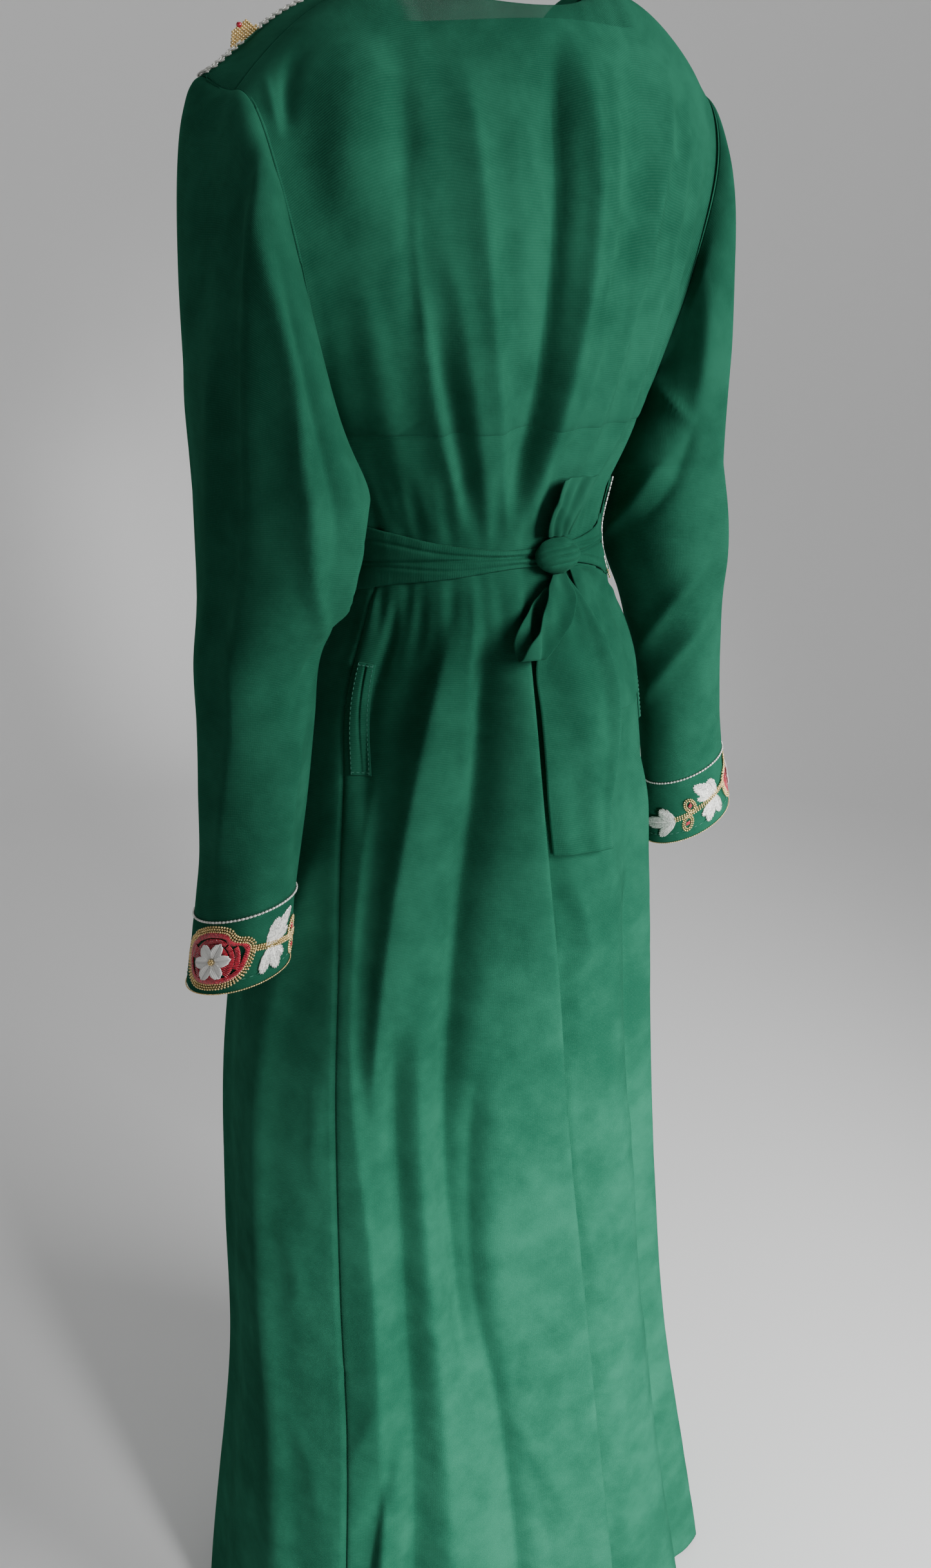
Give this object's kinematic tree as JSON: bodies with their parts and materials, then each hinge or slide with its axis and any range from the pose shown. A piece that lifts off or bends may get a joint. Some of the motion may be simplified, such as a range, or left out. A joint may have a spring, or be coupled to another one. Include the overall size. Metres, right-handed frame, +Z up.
{
  "type": "moroccan kaftan",
  "caption": "Long, floor-length kaftan in worn, hollow form, with long sleeves, beaded flower cuffs and waist ties knotted at the back.",
  "frame": {"origin": "midpoint between the two shoulder-neck points, where the wearer's shoulders hold the garment", "axes": "+Z up along the wearer, the front faces -Y, +X is the wearer's left"},
  "size_m": [0.561, 0.4207, 1.444],
  "materials": {
    "emerald_cloth": "emerald georgette over lining, soft sheen, fine cross rib",
    "white_satin": "white satin petals",
    "gold_beads": "small gold beads",
    "silver_beads": "silver and clear bugle beads",
    "red_beads": "red glass bugle beads"
  },
  "bodies": {
    "root": {"back_panel": "emerald_cloth", "front_panel": "emerald_cloth", "sleeve_left": "emerald_cloth", "sleeve_right": "emerald_cloth", "cuff_left": "emerald_cloth", "cuff_right": "emerald_cloth", "waist_panel": "emerald_cloth", "belt_tie_left": "emerald_cloth", "belt_tie_right": "emerald_cloth", "knot": "emerald_cloth", "stub_end": "emerald_cloth", "bow_loop": "emerald_cloth", "tail_long": "emerald_cloth", "tail_wide": "emerald_cloth", "pocket_welt_left": "emerald_cloth", "pocket_welt_right": "emerald_cloth"}
  },
  "joints": []
}
